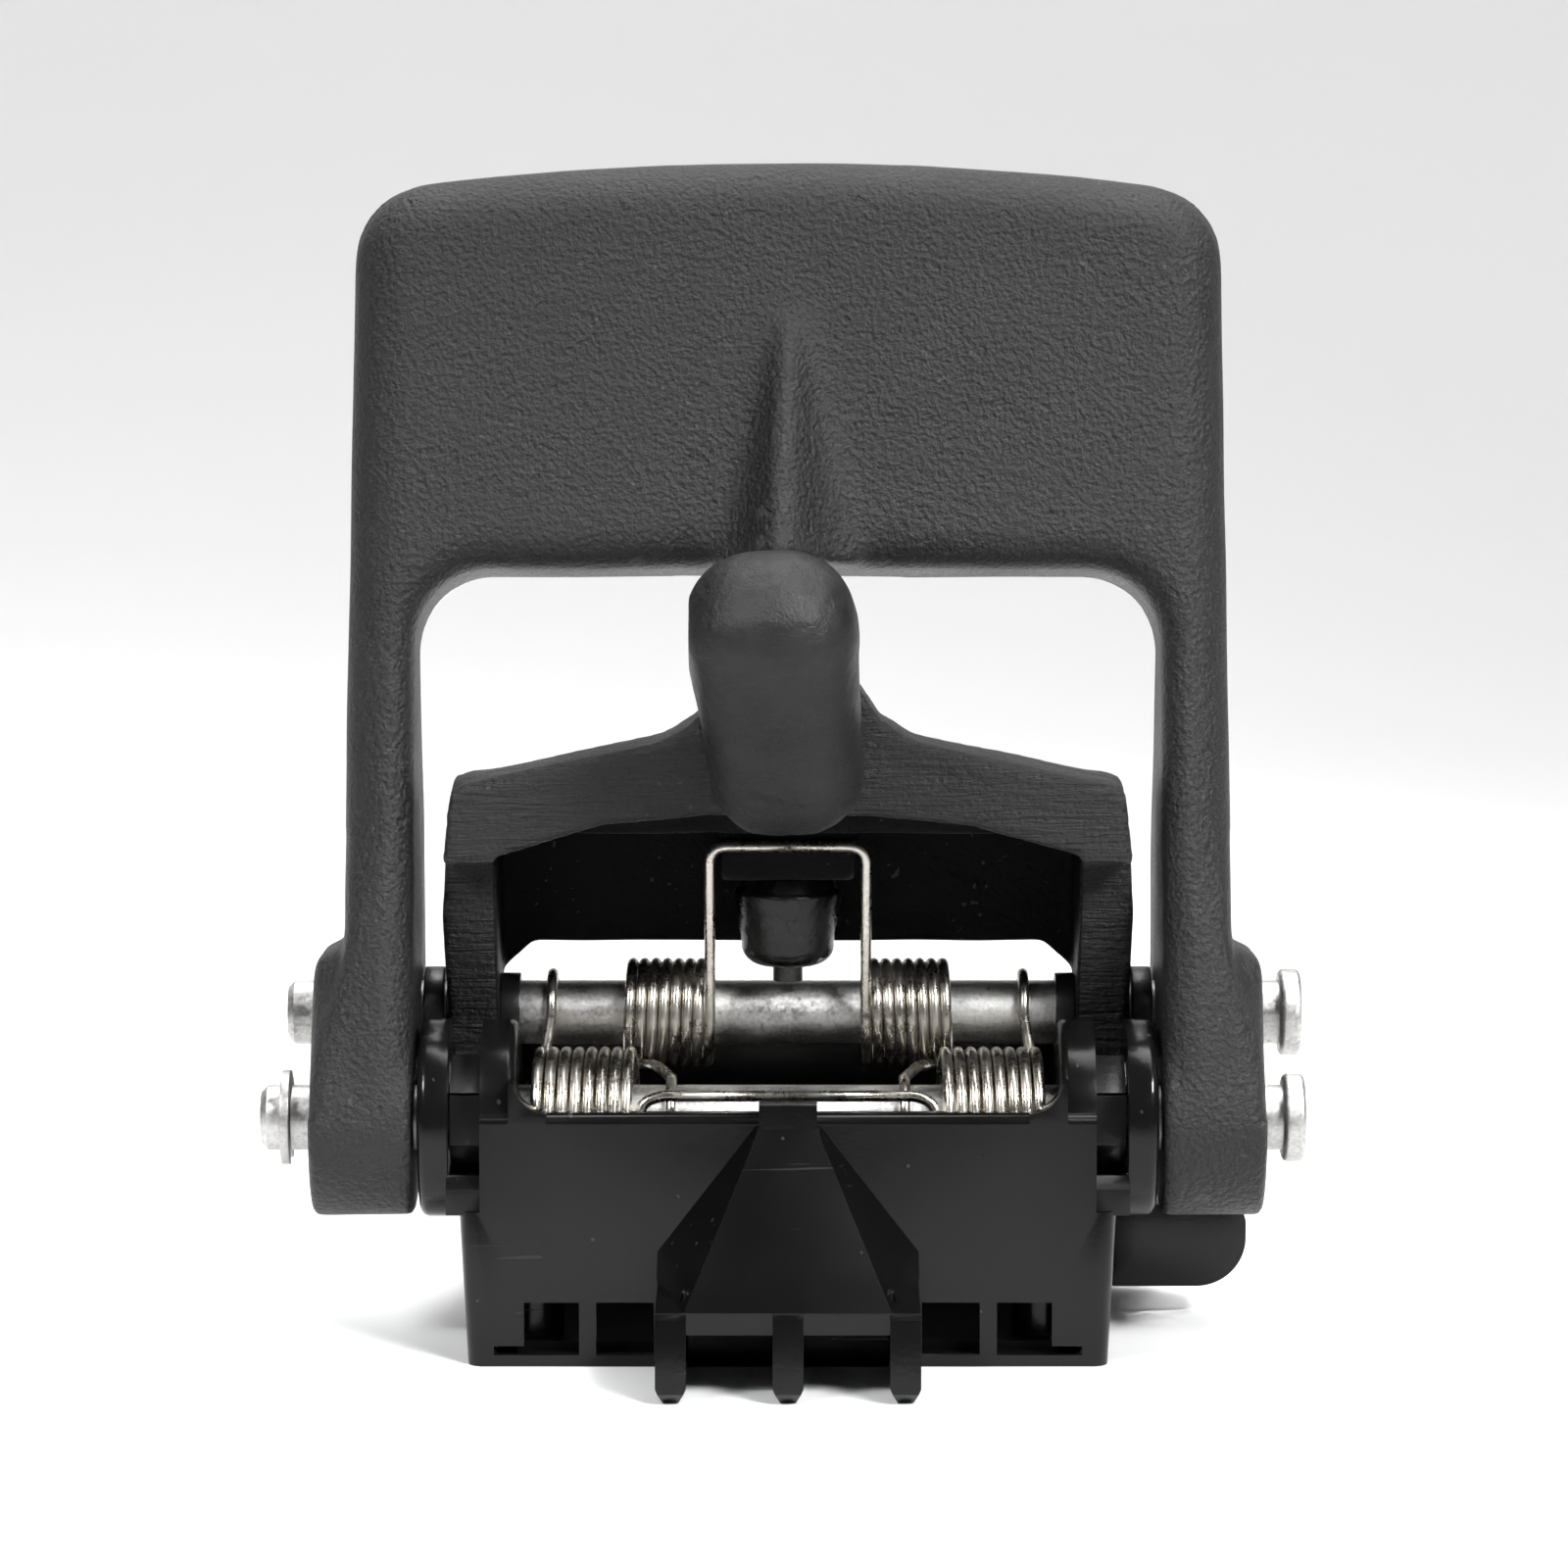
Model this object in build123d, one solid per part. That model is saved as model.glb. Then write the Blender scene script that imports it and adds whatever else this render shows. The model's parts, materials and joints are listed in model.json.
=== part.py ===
"""Cast spring mechanism of a snap trap: base, striker frame, trigger yoke, pins and torsion springs.

Millimetres. +X is to the right, +Y to the back, +Z up. The origin is on the underside of the base,
straight below the axis of the lower pin, in the middle of the width.
"""
from build123d import *
import math
import os

# ---- driving dimensions -------------------------------------------------------------------------
PIN_R = 2.5
RUN_GAP = 0.05                 # radial running clearance on both pins
LOWER_PIN = (0.0, 17.7)        # axis of the lower pin as (Y, Z)
UPPER_PIN = (10.0, 24.0)       # axis of the upper pin as (Y, Z)
LEAN = 14.0                    # degrees the striker frame leans back at rest

BASE_FRONT = -8.0
BASE_REAR = 24.0
BASE_HALF_LOW = 24.4
BASE_HALF_HIGH = 25.0
BASE_SIDE_TOP = 12.0
BASE_WALL = 2.0
LIP_TOP = 19.6
DECK_LOW = 9.0
DECK_TOP = 10.4
REAR_WALL = (14.8, 16.8)
REAR_WALL_TOP = 22.2
REAR_DECK_TOP = 8.2
PLATE_T = 1.5
PLATE_GAP = 0.1
WINDOW_LOW = 0.9
WINDOW_HIGH = 5.0
SLIT = (20.0, 22.4, 1.6)           # slit beside the outer windows: from, to, top
WINDOWS = ((-20.1, -15.9), (-14.6, -10.2), (10.2, 14.6), (15.9, 20.1))

EAR_R = 7.6
EAR_INNER = (20.7, 23.4)
EAR_OUTER = (25.9, 28.2)
SLOT_BOTTOM = 12.3
SILL = (-5.9, 14.6)                # sill across the front of the ear slot: its back face and its top
WELL_CORNER_R = 2.4

WEDGE_APEX = (2.2, 18.7, -9.2)     # half width, height and front face of the small flat at the top
WEDGE_FOOT = (7.75, 6.8, -18.6)    # half width, height and front face where the slope ends
WEDGE_ROOT = 10.1                  # half width where the sides of the wedge meet the front wall
WEDGE_WAIST = 9.0                  # height where those sides turn straight down
FOOT_X = (-8.75, 0.0, 8.75)
FOOT_T = 2.3
FOOT_FRONT = -20.0
FOOT_TAPER = 1.3                   # height below which a foot narrows

PLATE_HALF = 33.45             # striker frame: half width at the top
ARM_HALF = 34.0
FRAME_CROWN = 73.8
FRAME_SHOULDER = 71.3
FRAME_CORNER_R = 5.6
WINDOW_HALF = 28.6
WINDOW_TOP = 41.9
WINDOW_CORNER_R = 5.8
FRAME_FRONT = 7.5
BOSS_R = 7.5
BOSS_HALF = 36.5
FLARE_TOP = 15.0
FLARE_LOW = 1.5
FLARE_DEPTH = 5.0
CHEEK_R = 5.0
FRONT_FILLET = 2.6
RIDGE_HALF = 5.8
RIDGE_APEX = 62.8
SKIN_T = 3.2
POCKET_TOP = 68.0
POCKET_LOW = 45.0
RIB_T = 2.4

YOKE_IN = 22.4                 # trigger yoke arms
YOKE_OUT = 26.6
YOKE_BOSS_R = 4.0
BEAM_FRONT = -3.0
YOKE_REAR = 14.6
YOKE_REAR_T = 2.2
YOKE_REAR_LOW = 29.2
YOKE_ROOF = 39.4
PEG_R = 2.4
GRIP_LOW = (0.3, -3.4, 46.2, 5.5)      # X, Y, Z and radius of the grip's two round ends
GRIP_TIP = (-1.3, -10.0, 56.8, 6.1)

BUSH_FLANGE = (20.9, 22.4)
BUSH_FLANGE_R = 3.1
BUSH_R = 2.95
WASHER = (26.8, 28.4)
WASHER_R = 3.6
HUB_R = 5.2
HUB = (23.5, 25.8)

WIRE_R = 0.43
LOWER_COIL = (11.0, 20.2, 9, 5.02)     # inner end, outer end, turns, mean radius
UPPER_COIL = (5.62, 13.0, 8, 3.85)
LOWER_BAR = (-4.55, 20.3)              # the cross bar of the lower spring as (Y, Z)
LOWER_HOOK_X = 18.4
UPPER_HOOK_X = 8.95
HOOK_R = 3.5  # reach of the upper spring's hook from the centre of the lower pin
HOOK_BEARINGS = (62, 100, 160)  # along the hook, over the lower pin
LEG_BEND = (10.1, 6.15, 28)  # x, reach and bearing of the leg's bend behind the lower pin
BAIL_BEARING = 164  # where the bail leaves the upper coil
LEG_BEARING = 262  # where the leg leaves the upper coil
BAIL_BEND_R = 1.4
LEG_BEND_R = 0.7
BAIL = (3.3, 38.3)                     # the top bar of the upper spring as (Y, Z)

BUMPER_Y = 8.0
BUMPER_TOP = 35.4
BUMPER_LOW = 28.3
BUMPER_R = 4.2
STUD_R = 1.15
STUD_LOW = 26.95

LEVER_PIVOT = (17.0, 6.0)              # side lever: axis as (Y, Z)
LEVER_IN = 25.5
LEVER_T = 2.7
LEVER_HUB_R = 3.4
LEVER_PIN_R = 1.5
LEVER_TIP = 36.0


# ---- helpers ------------------------------------------------------------------------------------
def block(x0, x1, y0, y1, z0, z1):
    """A box between two corners."""
    return Pos((x0 + x1) / 2, (y0 + y1) / 2, (z0 + z1) / 2) * Box(x1 - x0, y1 - y0, z1 - z0)


def rod_x(x0, x1, axis, radius):
    """A cylinder along X about an axis given as (Y, Z)."""
    return Pos((x0 + x1) / 2, axis[0], axis[1]) * Rot(0, 90, 0) * Cylinder(radius, x1 - x0)


def rod_z(x, y, z0, z1, radius):
    """An upright cylinder."""
    return Pos(x, y, (z0 + z1) / 2) * Cylinder(radius, z1 - z0)


def prism_x(points, x0, x1):
    """A (Y, Z) polygon carried along X."""
    face = Plane.YZ.offset(x0) * make_face(Polyline(*points, close=True))
    return extrude(face, amount=x1 - x0)


def prism_y(points, y0, y1):
    """An (X, Z) polygon carried along Y."""
    face = Pos(0, y0, 0) * Rot(90, 0, 0) * make_face(Polyline(*points, close=True))
    return extrude(face, amount=-(y1 - y0))


def both_sides(shape):
    """A shape and its mirror image left to right."""
    return [shape, mirror(shape, about=Plane.YZ)]


def cut_pins(shape, lower_r, upper_r):
    """Bore a shape for both pins."""
    shape -= rod_x(-60, 60, LOWER_PIN, lower_r)
    return shape - rod_x(-60, 60, UPPER_PIN, upper_r)


def frame_plane():
    """Plane of the leaning frame: X across, Y up the frame, Z out of its front, from the lower pin."""
    lean = math.radians(LEAN)
    return Plane(
        origin=(0, LOWER_PIN[0], LOWER_PIN[1]),
        x_dir=(1, 0, 0),
        z_dir=(0, -math.cos(lean), math.sin(lean)),
    )


def upper_pin_in_frame():
    """The upper pin's axis as (up the frame, out of its front)."""
    lean = math.radians(LEAN)
    dy = UPPER_PIN[0] - LOWER_PIN[0]
    dz = UPPER_PIN[1] - LOWER_PIN[1]
    up = dy * math.sin(lean) + dz * math.cos(lean)
    out = -dy * math.cos(lean) + dz * math.sin(lean)
    return up, out


# ---- base ---------------------------------------------------------------------------------------
def base_shell():
    """Tapered walls, deck and rear shelf, open below for the base plate."""
    outline = [
        (-BASE_HALF_LOW, 0), (BASE_HALF_LOW, 0),
        (BASE_HALF_HIGH, BASE_SIDE_TOP), (-BASE_HALF_HIGH, BASE_SIDE_TOP),
    ]
    shell = prism_y(outline, BASE_FRONT, BASE_REAR)
    shell -= block(-40, 40, REAR_WALL[1], BASE_REAR + 1, REAR_DECK_TOP, 40)
    shell = fillet(shell.edges().filter_by(Axis.Z, tolerance=4).group_by(Axis.Y)[0], 1.2)
    side = BASE_HALF_LOW - BASE_WALL
    front = BASE_FRONT + BASE_WALL
    shell -= block(-side, side, front, REAR_WALL[1], -1, DECK_LOW)
    shell -= block(-side, side, REAR_WALL[1] - 0.01, BASE_REAR - BASE_WALL, -1, REAR_DECK_TOP - 1.4)
    shell -= block(-EAR_INNER[0], EAR_INNER[0], front, REAR_WALL[0], DECK_TOP, 40)
    return shell


def front_and_rear_walls():
    """The lip across the front between the inner ears, and the tall wall behind the springs."""
    half = EAR_INNER[1]
    front = block(-half, half, BASE_FRONT, BASE_FRONT + BASE_WALL, BASE_SIDE_TOP - 1, LIP_TOP)
    front = fillet(front.edges().filter_by(Axis.X).group_by(Axis.Z)[-1], 0.8)
    rear_half = EAR_INNER[1] - 0.6
    rear = block(-rear_half, rear_half, REAR_WALL[0], REAR_WALL[1], DECK_LOW, REAR_WALL_TOP)
    rear = fillet(rear.edges().filter_by(Axis.Y).group_by(Axis.Z)[-1], 3.0)
    return front + rear


def well_corner():
    """Rounded inside corner between the front lip and the right-hand inner ear."""
    r = WELL_CORNER_R
    left = EAR_INNER[0] - r
    corner = block(left, EAR_INNER[0] + 0.5, BASE_FRONT, BASE_FRONT + BASE_WALL, LIP_TOP - 1.0, LIP_TOP + r)
    bore = Pos(left, BASE_FRONT + 1, LIP_TOP + r) * Rot(90, 0, 0) * Cylinder(r, 8)
    corner -= block(left - 1, EAR_INNER[0] + 1, BASE_FRONT - 1, BASE_FRONT + BASE_WALL + 1, LIP_TOP + r, 40)
    return corner - bore


def ear_pair():
    """Right-hand double ear about the lower pin, split by the slot for the cam hub."""
    ear = rod_x(EAR_INNER[0], EAR_OUTER[1], LOWER_PIN, EAR_R)
    ear = fillet(ear.edges().filter_by(GeomType.CIRCLE), 0.7)
    skirt = block(EAR_INNER[0], EAR_INNER[1], BASE_FRONT, EAR_R, DECK_LOW, LOWER_PIN[1])
    ear += skirt + well_corner()
    ear -= block(EAR_INNER[1], EAR_OUTER[0], -20, 20, SLOT_BOTTOM, 40)
    left, right = EAR_INNER[1] - 0.1, EAR_OUTER[0] + 0.1
    sill = block(left, right, BASE_FRONT + 0.4, SILL[0], SLOT_BOTTOM - 0.6, SILL[1])
    return ear + chamfer(sill.edges().filter_by(Axis.X).group_by(Axis.Z)[-1].sort_by(Axis.Y)[0], 0.9)


def wedge_section(height, half, front, root_half):
    """Level section of the wedge: front edge, and the wider edge on the front wall."""
    root = BASE_FRONT + 0.5
    return Plane.XY.offset(height) * make_face(Polyline(
        (-half, front), (half, front), (root_half, root), (-root_half, root), close=True))


def wedge():
    """Sloped gusset on the front wall, ending in three upright feet."""
    top_half, top_z, top_y = WEDGE_APEX
    low_half, low_z, low_y = WEDGE_FOOT
    root = BASE_FRONT + 0.5
    share = (top_z - WEDGE_WAIST) / (top_z - low_z)
    waist_half = top_half + share * (low_half - top_half)
    waist_y = top_y + share * (low_y - top_y)
    upper = wedge_section(top_z, top_half, top_y, top_half + 0.4)
    waist = wedge_section(WEDGE_WAIST, waist_half, waist_y, WEDGE_ROOT)
    lower = wedge_section(low_z, low_half, low_y, WEDGE_ROOT)
    body = loft([waist, upper]) + loft([lower, waist])
    body += block(-top_half, top_half, top_y, root, top_z - 0.1, LIP_TOP + 0.9)
    bar_low = low_z - 1.7
    body += block(-WEDGE_ROOT + 0.2, WEDGE_ROOT - 0.2, low_y, root, bar_low, low_z)
    for x in FOOT_X:
        foot = [
            (root, 0), (FOOT_FRONT + 1.1, 0), (FOOT_FRONT, 0.9),
            (FOOT_FRONT + 0.6, low_z - 0.4), (low_y + 0.4, low_z), (root, low_z),
        ]
        side = FOOT_T / 2
        taper = [
            (x - side, low_z + 1), (x - side, FOOT_TAPER), (x - side / 2, 0),
            (x + side / 2, 0), (x + side, FOOT_TAPER), (x + side, low_z + 1),
        ]
        body += prism_x(foot, x - side, x + side) & prism_y(taper, FOOT_FRONT - 1, root + 1)
    return body


def screw_places():
    """Centres of the four base plate screws."""
    return [(x, y) for x in (-19.6, 19.6) for y in (-2.6, 19.4)]


def base_housing():
    """Moulded housing: shell, walls, ears, wedge and screw posts."""
    body = base_shell() + front_and_rear_walls() + wedge()
    for ear in both_sides(ear_pair()):
        body += ear
    for x, y in screw_places():
        top = DECK_LOW if y < REAR_WALL[1] else REAR_DECK_TOP - 1.4
        body += rod_z(x, y, PLATE_T + PLATE_GAP, top + 0.2, 2.4)
        body -= rod_z(x, y, 0, 6.0, 0.8)
    for left, right in WINDOWS:
        body -= block(left, right, BASE_FRONT - 1, BASE_FRONT + BASE_WALL + 0.1, WINDOW_LOW, WINDOW_HIGH)
    for side in (-1, 1):
        left, right = sorted((side * SLIT[0], side * SLIT[1]))
        body -= block(left, right, BASE_FRONT - 1, BASE_FRONT + BASE_WALL + 0.1, WINDOW_LOW, SLIT[2])
    body -= rod_x(-30, 30, LOWER_PIN, PIN_R + RUN_GAP)
    body -= rod_x(BASE_HALF_LOW - 4, 30, LEVER_PIVOT, LEVER_PIN_R)
    return body


def base_plate():
    """Flat plate that closes the underside, with countersunk screw holes."""
    side = BASE_HALF_LOW - BASE_WALL - PLATE_GAP
    front = BASE_FRONT + BASE_WALL + PLATE_GAP
    plate = block(-side, side, front, BASE_REAR - BASE_WALL - PLATE_GAP, 0, PLATE_T)
    plate = fillet(plate.edges().filter_by(Axis.Z), 1.0)
    for x, y in screw_places():
        plate -= rod_z(x, y, -1, 3, 1.1)
        plate -= rod_z(x, y, -1, 0.9, 1.9)
    return plate


def base_plate_screws():
    """Four pan-head screws, sunk below the plate's face."""
    screws = []
    for x, y in screw_places():
        screw = rod_z(x, y, 0.15, 0.9, 1.7) + rod_z(x, y, 0.8, 5.6, 0.8)
        screw -= block(x - 1.2, x + 1.2, y - 0.2, y + 0.2, 0, 0.5)
        screws.append(screw)
    return Compound(children=screws)


# ---- side lever ---------------------------------------------------------------------------------
def trip_lever():
    """Hub, forward arm with an outward rounded tongue, and an upright sear nose."""
    y, z = LEVER_PIVOT
    outer = LEVER_IN + LEVER_T
    hub = rod_x(LEVER_IN, outer, LEVER_PIVOT, LEVER_HUB_R)
    arm = block(LEVER_IN, outer, y - 9.0, y, z - 3.2, z + 2.8)
    tongue = block(LEVER_IN, LEVER_TIP, y - 9.0, y - 5.6, z - 3.6, z + 3.0)
    corners = tongue.edges().filter_by(Axis.Y).group_by(Axis.X)[-1]
    tongue = fillet(corners.group_by(Axis.Z)[0], 3.9)
    tongue = fillet(tongue.edges().filter_by(Axis.Y).group_by(Axis.X)[-1], 1.6)
    nose = prism_x([(y - 1.5, z), (y + 3.0, z), (y + 2.6, z + 7.0), (y + 0.2, z + 7.0)], LEVER_IN, outer)
    lever = hub + arm + tongue + nose
    return lever - rod_x(20, 40, LEVER_PIVOT, LEVER_PIN_R + RUN_GAP)


def trip_lever_pin():
    """Headed pin, pressed into the housing's side wall."""
    outer = LEVER_IN + LEVER_T + 0.15
    shank = rod_x(BASE_HALF_LOW - BASE_WALL + 0.2, outer + 0.1, LEVER_PIVOT, LEVER_PIN_R)
    head = rod_x(outer, outer + 1.1, LEVER_PIVOT, 2.7)
    head = fillet(head.edges().filter_by(GeomType.CIRCLE).group_by(Axis.X)[-1], 0.5)
    return shank + head


# ---- striker frame ------------------------------------------------------------------------------
def frame_outline():
    """Front outline of plate, arms and bosses, with its window, in the frame's own plane."""
    crown = (0, FRAME_CROWN)
    shoulder = (PLATE_HALF, FRAME_SHOULDER)
    top = ThreePointArc((-shoulder[0], shoulder[1]), crown, shoulder)
    side = Polyline(
        shoulder, (ARM_HALF, 24.0), (ARM_HALF, -BOSS_R), (-ARM_HALF, -BOSS_R),
        (-ARM_HALF, 24.0), (-shoulder[0], shoulder[1]))
    outline = make_face(Curve() + [top, side])
    corners = outline.vertices().group_by(Axis.Y)[-1]
    outline = fillet(corners, FRAME_CORNER_R)
    window = make_face(Polyline(
        (-WINDOW_HALF, -20), (WINDOW_HALF, -20),
        (WINDOW_HALF, WINDOW_TOP), (-WINDOW_HALF, WINDOW_TOP), close=True))
    window = fillet(window.vertices().group_by(Axis.Y)[-1], WINDOW_CORNER_R)
    return outline - window


def cheek_profile():
    """Side profile of the frame as (up, out) points: thin plate, deep cheeks round the two pins."""
    up, out = upper_pin_in_frame()
    back = out - CHEEK_R
    return [
        (-BOSS_R, FRAME_FRONT), (FRAME_CROWN + 2, FRAME_FRONT), (FRAME_CROWN + 2, 1.8), (52.0, 0.4),
        (40.0, -1.2), (33.0, -5.0), (25.0, -9.5), (up + 3.0, back), (up - 4.0, back), (-BOSS_R, 0),
    ]


def side_prism(points, x0, x1):
    """A polygon of (up, out) points carried along X in the frame's own axes."""
    face = make_face(Polyline(*[(0, up, out) for up, out in points], close=True))
    return Pos(x0, 0, 0) * extrude(face, amount=x1 - x0, dir=(1, 0, 0))


def boss_pad():
    """Right-hand boss round both pins, standing out of the arm's side."""
    up, out = upper_pin_in_frame()
    width = BOSS_HALF - WINDOW_HALF
    middle = WINDOW_HALF + width / 2
    lower = Pos(middle, 0, 0) * Rot(0, 90, 0) * Cylinder(BOSS_R, width)
    upper = Pos(middle, up, out) * Rot(0, 90, 0) * Cylinder(CHEEK_R, width)
    slope = math.atan2(-out, up)
    normal = (-math.sin(slope), -math.cos(slope))
    bridge = side_prism([
        (normal[0] * BOSS_R, normal[1] * BOSS_R),
        (up + normal[0] * CHEEK_R, out + normal[1] * CHEEK_R),
        (up + 5.5, out + 2.0), (12.5, 3.4), (6.0, FRAME_FRONT - 1.9), (0.0, BOSS_R - 0.2),
    ], WINDOW_HALF, BOSS_HALF)
    flare = Plane.XY.offset(FRAME_FRONT - FLARE_DEPTH) * make_face(Polyline(
        (ARM_HALF - 2.0, FLARE_TOP), (ARM_HALF - 0.6, FLARE_TOP), (BOSS_HALF, FLARE_LOW),
        (BOSS_HALF, 0), (ARM_HALF - 2.0, 0), close=True))
    return lower + upper + bridge + extrude(flare, amount=FLARE_DEPTH - 0.5)


def ridge():
    """Half-cone rib on the plate's front, widening down to the window."""
    height = RIDGE_APEX - WINDOW_TOP
    cone = Cone(RIDGE_HALF, 0.3, height)
    return Pos(0, WINDOW_TOP + height / 2, FRAME_FRONT - 0.4) * Rot(-90, 0, 0) * cone


def rear_pockets():
    """Four pockets in the plate's back, parted by ribs."""
    pockets = []
    step = (2 * (WINDOW_HALF + 1.0) + RIB_T) / 4
    for i in range(4):
        left = -(WINDOW_HALF + 1.0) + i * step
        right = left + step - RIB_T
        top = POCKET_TOP - (0.0 if 0 < i < 3 else 1.6)
        pockets.append(block(left, right, POCKET_LOW, top, -8, FRAME_FRONT - SKIN_T))
    return pockets


def striker_frame():
    """Cast frame: plate, ridge, window, cheeks and pin bosses."""
    depth = 24.0
    front = extrude(Pos(0, 0, FRAME_FRONT - depth) * frame_outline(), amount=depth)
    front = fillet(front.edges().filter_by(Plane.XY).group_by(Axis.Z)[-1], FRONT_FILLET)
    body = front & side_prism(cheek_profile(), -50, 50)
    for pocket in rear_pockets():
        body -= pocket
    below = block(-50, 50, -20, 0, -30, 30) - rod_x(-50, 50, (0, 0), BOSS_R)
    body -= below
    for pad in both_sides(boss_pad()):
        body += pad
    body += ridge()
    body = frame_plane().location * body
    return cut_pins(body, PIN_R, PIN_R)


# ---- pins and what sits on them -----------------------------------------------------------------
def headed_pin(axis, left, head_in, head_out):
    """Pin with a chamfered plain end on the left and an upset head on the right."""
    shank = rod_x(left, head_in + 0.2, axis, PIN_R)
    shank = chamfer(shank.edges().filter_by(GeomType.CIRCLE).group_by(Axis.X)[0], 0.5)
    head = rod_x(head_in, head_out, axis, 3.4)
    head = fillet(head.edges().filter_by(GeomType.CIRCLE), 0.45)
    return shank + head


def lower_pin():
    """Lower pin with a groove for its clip."""
    pin = headed_pin(LOWER_PIN, -40.5, 38.0, 39.7)
    groove = rod_x(-39.0, -38.1, LOWER_PIN, 3.2) - rod_x(-40, -37, LOWER_PIN, 1.7)
    return pin - groove


def upper_pin():
    """Upper pin, axle of the yoke."""
    return headed_pin(UPPER_PIN, -39.1, 38.4, 40.1)


def lower_pin_clip():
    """Open retaining ring in the lower pin's groove."""
    y, z = LOWER_PIN
    ring = rod_x(-38.9, -38.2, LOWER_PIN, 3.65) - rod_x(-39, -38, LOWER_PIN, 1.75)
    ring -= block(-39.5, -37.5, y - 1.2, y + 1.2, z - 5, z)
    return ring


def cam_hub(side):
    """Faceted hub on the lower pin, notched at the front."""
    y, z = LOWER_PIN
    points = []
    for i in range(8):
        angle = math.radians(45 * i + 12)
        points.append((y + HUB_R * math.cos(angle), z + HUB_R * math.sin(angle)))
    x0, x1 = sorted((side * HUB[0], side * HUB[1]))
    hub = prism_x(points, x0, x1)
    notch = [(y - 6, z + 3.3), (y - 4.0, z + 2.7), (y - 6, z + 2.1)]
    hub -= prism_x(notch, x0 - 1, x1 + 1)
    return hub - rod_x(-60, 60, LOWER_PIN, PIN_R)


def washer(side):
    """Spacing washer between yoke and frame, tight on the upper pin."""
    x0, x1 = sorted((side * WASHER[0], side * WASHER[1]))
    ring = rod_x(x0, x1, UPPER_PIN, WASHER_R)
    return ring - rod_x(-60, 60, UPPER_PIN, PIN_R)


def yoke_bush(side):
    """Flanged bush pressed into the yoke, running on the upper pin."""
    f0, f1 = sorted((side * BUSH_FLANGE[0], side * BUSH_FLANGE[1]))
    s0, s1 = sorted((side * BUSH_FLANGE[1], side * (YOKE_OUT + 0.05)))
    bush = rod_x(f0, f1, UPPER_PIN, BUSH_FLANGE_R) + rod_x(s0, s1, UPPER_PIN, BUSH_R)
    return bush - rod_x(-60, 60, UPPER_PIN, PIN_R + RUN_GAP)


# ---- trigger yoke -------------------------------------------------------------------------------
def yoke_front():
    """Front view of the yoke as a solid block along Y: legs, overhanging beam and raised middle."""
    right = [
        (YOKE_OUT - 0.2, 19.0), (YOKE_OUT, 33.0), (26.2, 38.6), (25.7, 43.4), (24.6, 44.1),
        (15.0, 46.2), (9.6, 47.4), (7.0, 49.0), (5.4, 51.4),
    ]
    left = [(-x, z) for x, z in reversed(right)]
    return prism_y(right + left, BEAM_FRONT, YOKE_REAR)


def yoke_side():
    """Side view of the yoke carried along X: beam in front, hood falling to the rear wall, pin boss."""
    y, z = UPPER_PIN
    profile = [
        (BEAM_FRONT, 37.8), (BEAM_FRONT, 52.0), (1.6, 52.0), (2.4, 44.6), (YOKE_REAR, 40.4),
        (YOKE_REAR, 28.0), (y + YOKE_BOSS_R, z), (y - YOKE_BOSS_R, z), (2.0, 33.0), (0.4, 37.8),
    ]
    return prism_x(profile, -40, 40) + rod_x(-40, 40, UPPER_PIN, YOKE_BOSS_R)


def yoke_bay():
    """Hollow under the hood, between the arms."""
    inner = YOKE_REAR - YOKE_REAR_T
    roof = [
        (-YOKE_IN, 10.0), (-YOKE_IN, 38.4), (-14.0, 40.9), (-6.0, 41.6),
        (6.0, 41.6), (14.0, 40.9), (YOKE_IN, 38.4), (YOKE_IN, 10.0),
    ]
    front_bay = prism_y(roof, BEAM_FRONT - 1, 2.6)
    rear_bay = block(-YOKE_IN, YOKE_IN, 2.5, inner, 10.0, YOKE_ROOF)
    under = prism_y([
        (-YOKE_IN, 10.0), (-YOKE_IN, 27.0), (-20.0, YOKE_REAR_LOW),
        (20.0, YOKE_REAR_LOW), (YOKE_IN, 27.0), (YOKE_IN, 10.0),
    ], BEAM_FRONT - 1, YOKE_REAR + 8)
    return front_bay + rear_bay + under


def grip_peg():
    """Round peg of the yoke inside the grip."""
    low = Vector(*GRIP_LOW[:3])
    tip = Vector(*GRIP_TIP[:3])
    direction = (tip - low).normalized()
    start = low - direction * 2.5
    length = (tip - start).length - 1.0
    return Plane(origin=start, z_dir=direction) * extrude(Circle(PEG_R), amount=length)


def trigger_yoke():
    """Cast bridge on the upper pin, with the peg for the grip and the boss for the bumper."""
    body = yoke_front() & yoke_side()
    body -= yoke_bay()
    body += block(-5.2, 5.2, BUMPER_Y - 4.0, YOKE_REAR - 1.0, BUMPER_TOP, YOKE_ROOF + 0.2)
    body += block(-4.0, 4.0, BEAM_FRONT, 2.0, 42.0, 49.0)
    body += grip_peg()
    body -= rod_z(0, BUMPER_Y, 30, 38.6, STUD_R)
    return body - rod_x(-60, 60, UPPER_PIN, BUSH_R)


def thumb_grip():
    """Rounded thumb-shaped grip, blunt at the tip, seated on the yoke's beam."""
    low = Vector(*GRIP_LOW[:3])
    tip = Vector(*GRIP_TIP[:3])
    direction = (tip - low).normalized()
    length = (tip - low).length
    waist = Cone(GRIP_LOW[3], GRIP_TIP[3], length, align=(Align.CENTER, Align.CENTER, Align.MIN))
    body = Plane(origin=low, z_dir=direction) * waist
    body += Pos(*low) * Sphere(GRIP_LOW[3])
    body += Pos(*tip) * Sphere(GRIP_TIP[3])
    body -= block(-20, 20, BEAM_FRONT, 20, 30, 49.0)
    body -= block(-20, 20, 1.6, 20, 30, 60.0)
    raised = prism_y([(-7.2, 48.9), (7.2, 48.9), (5.2, 52.0), (-5.2, 52.0)], BEAM_FRONT, 10)
    body -= raised
    return body - grip_peg()


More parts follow.
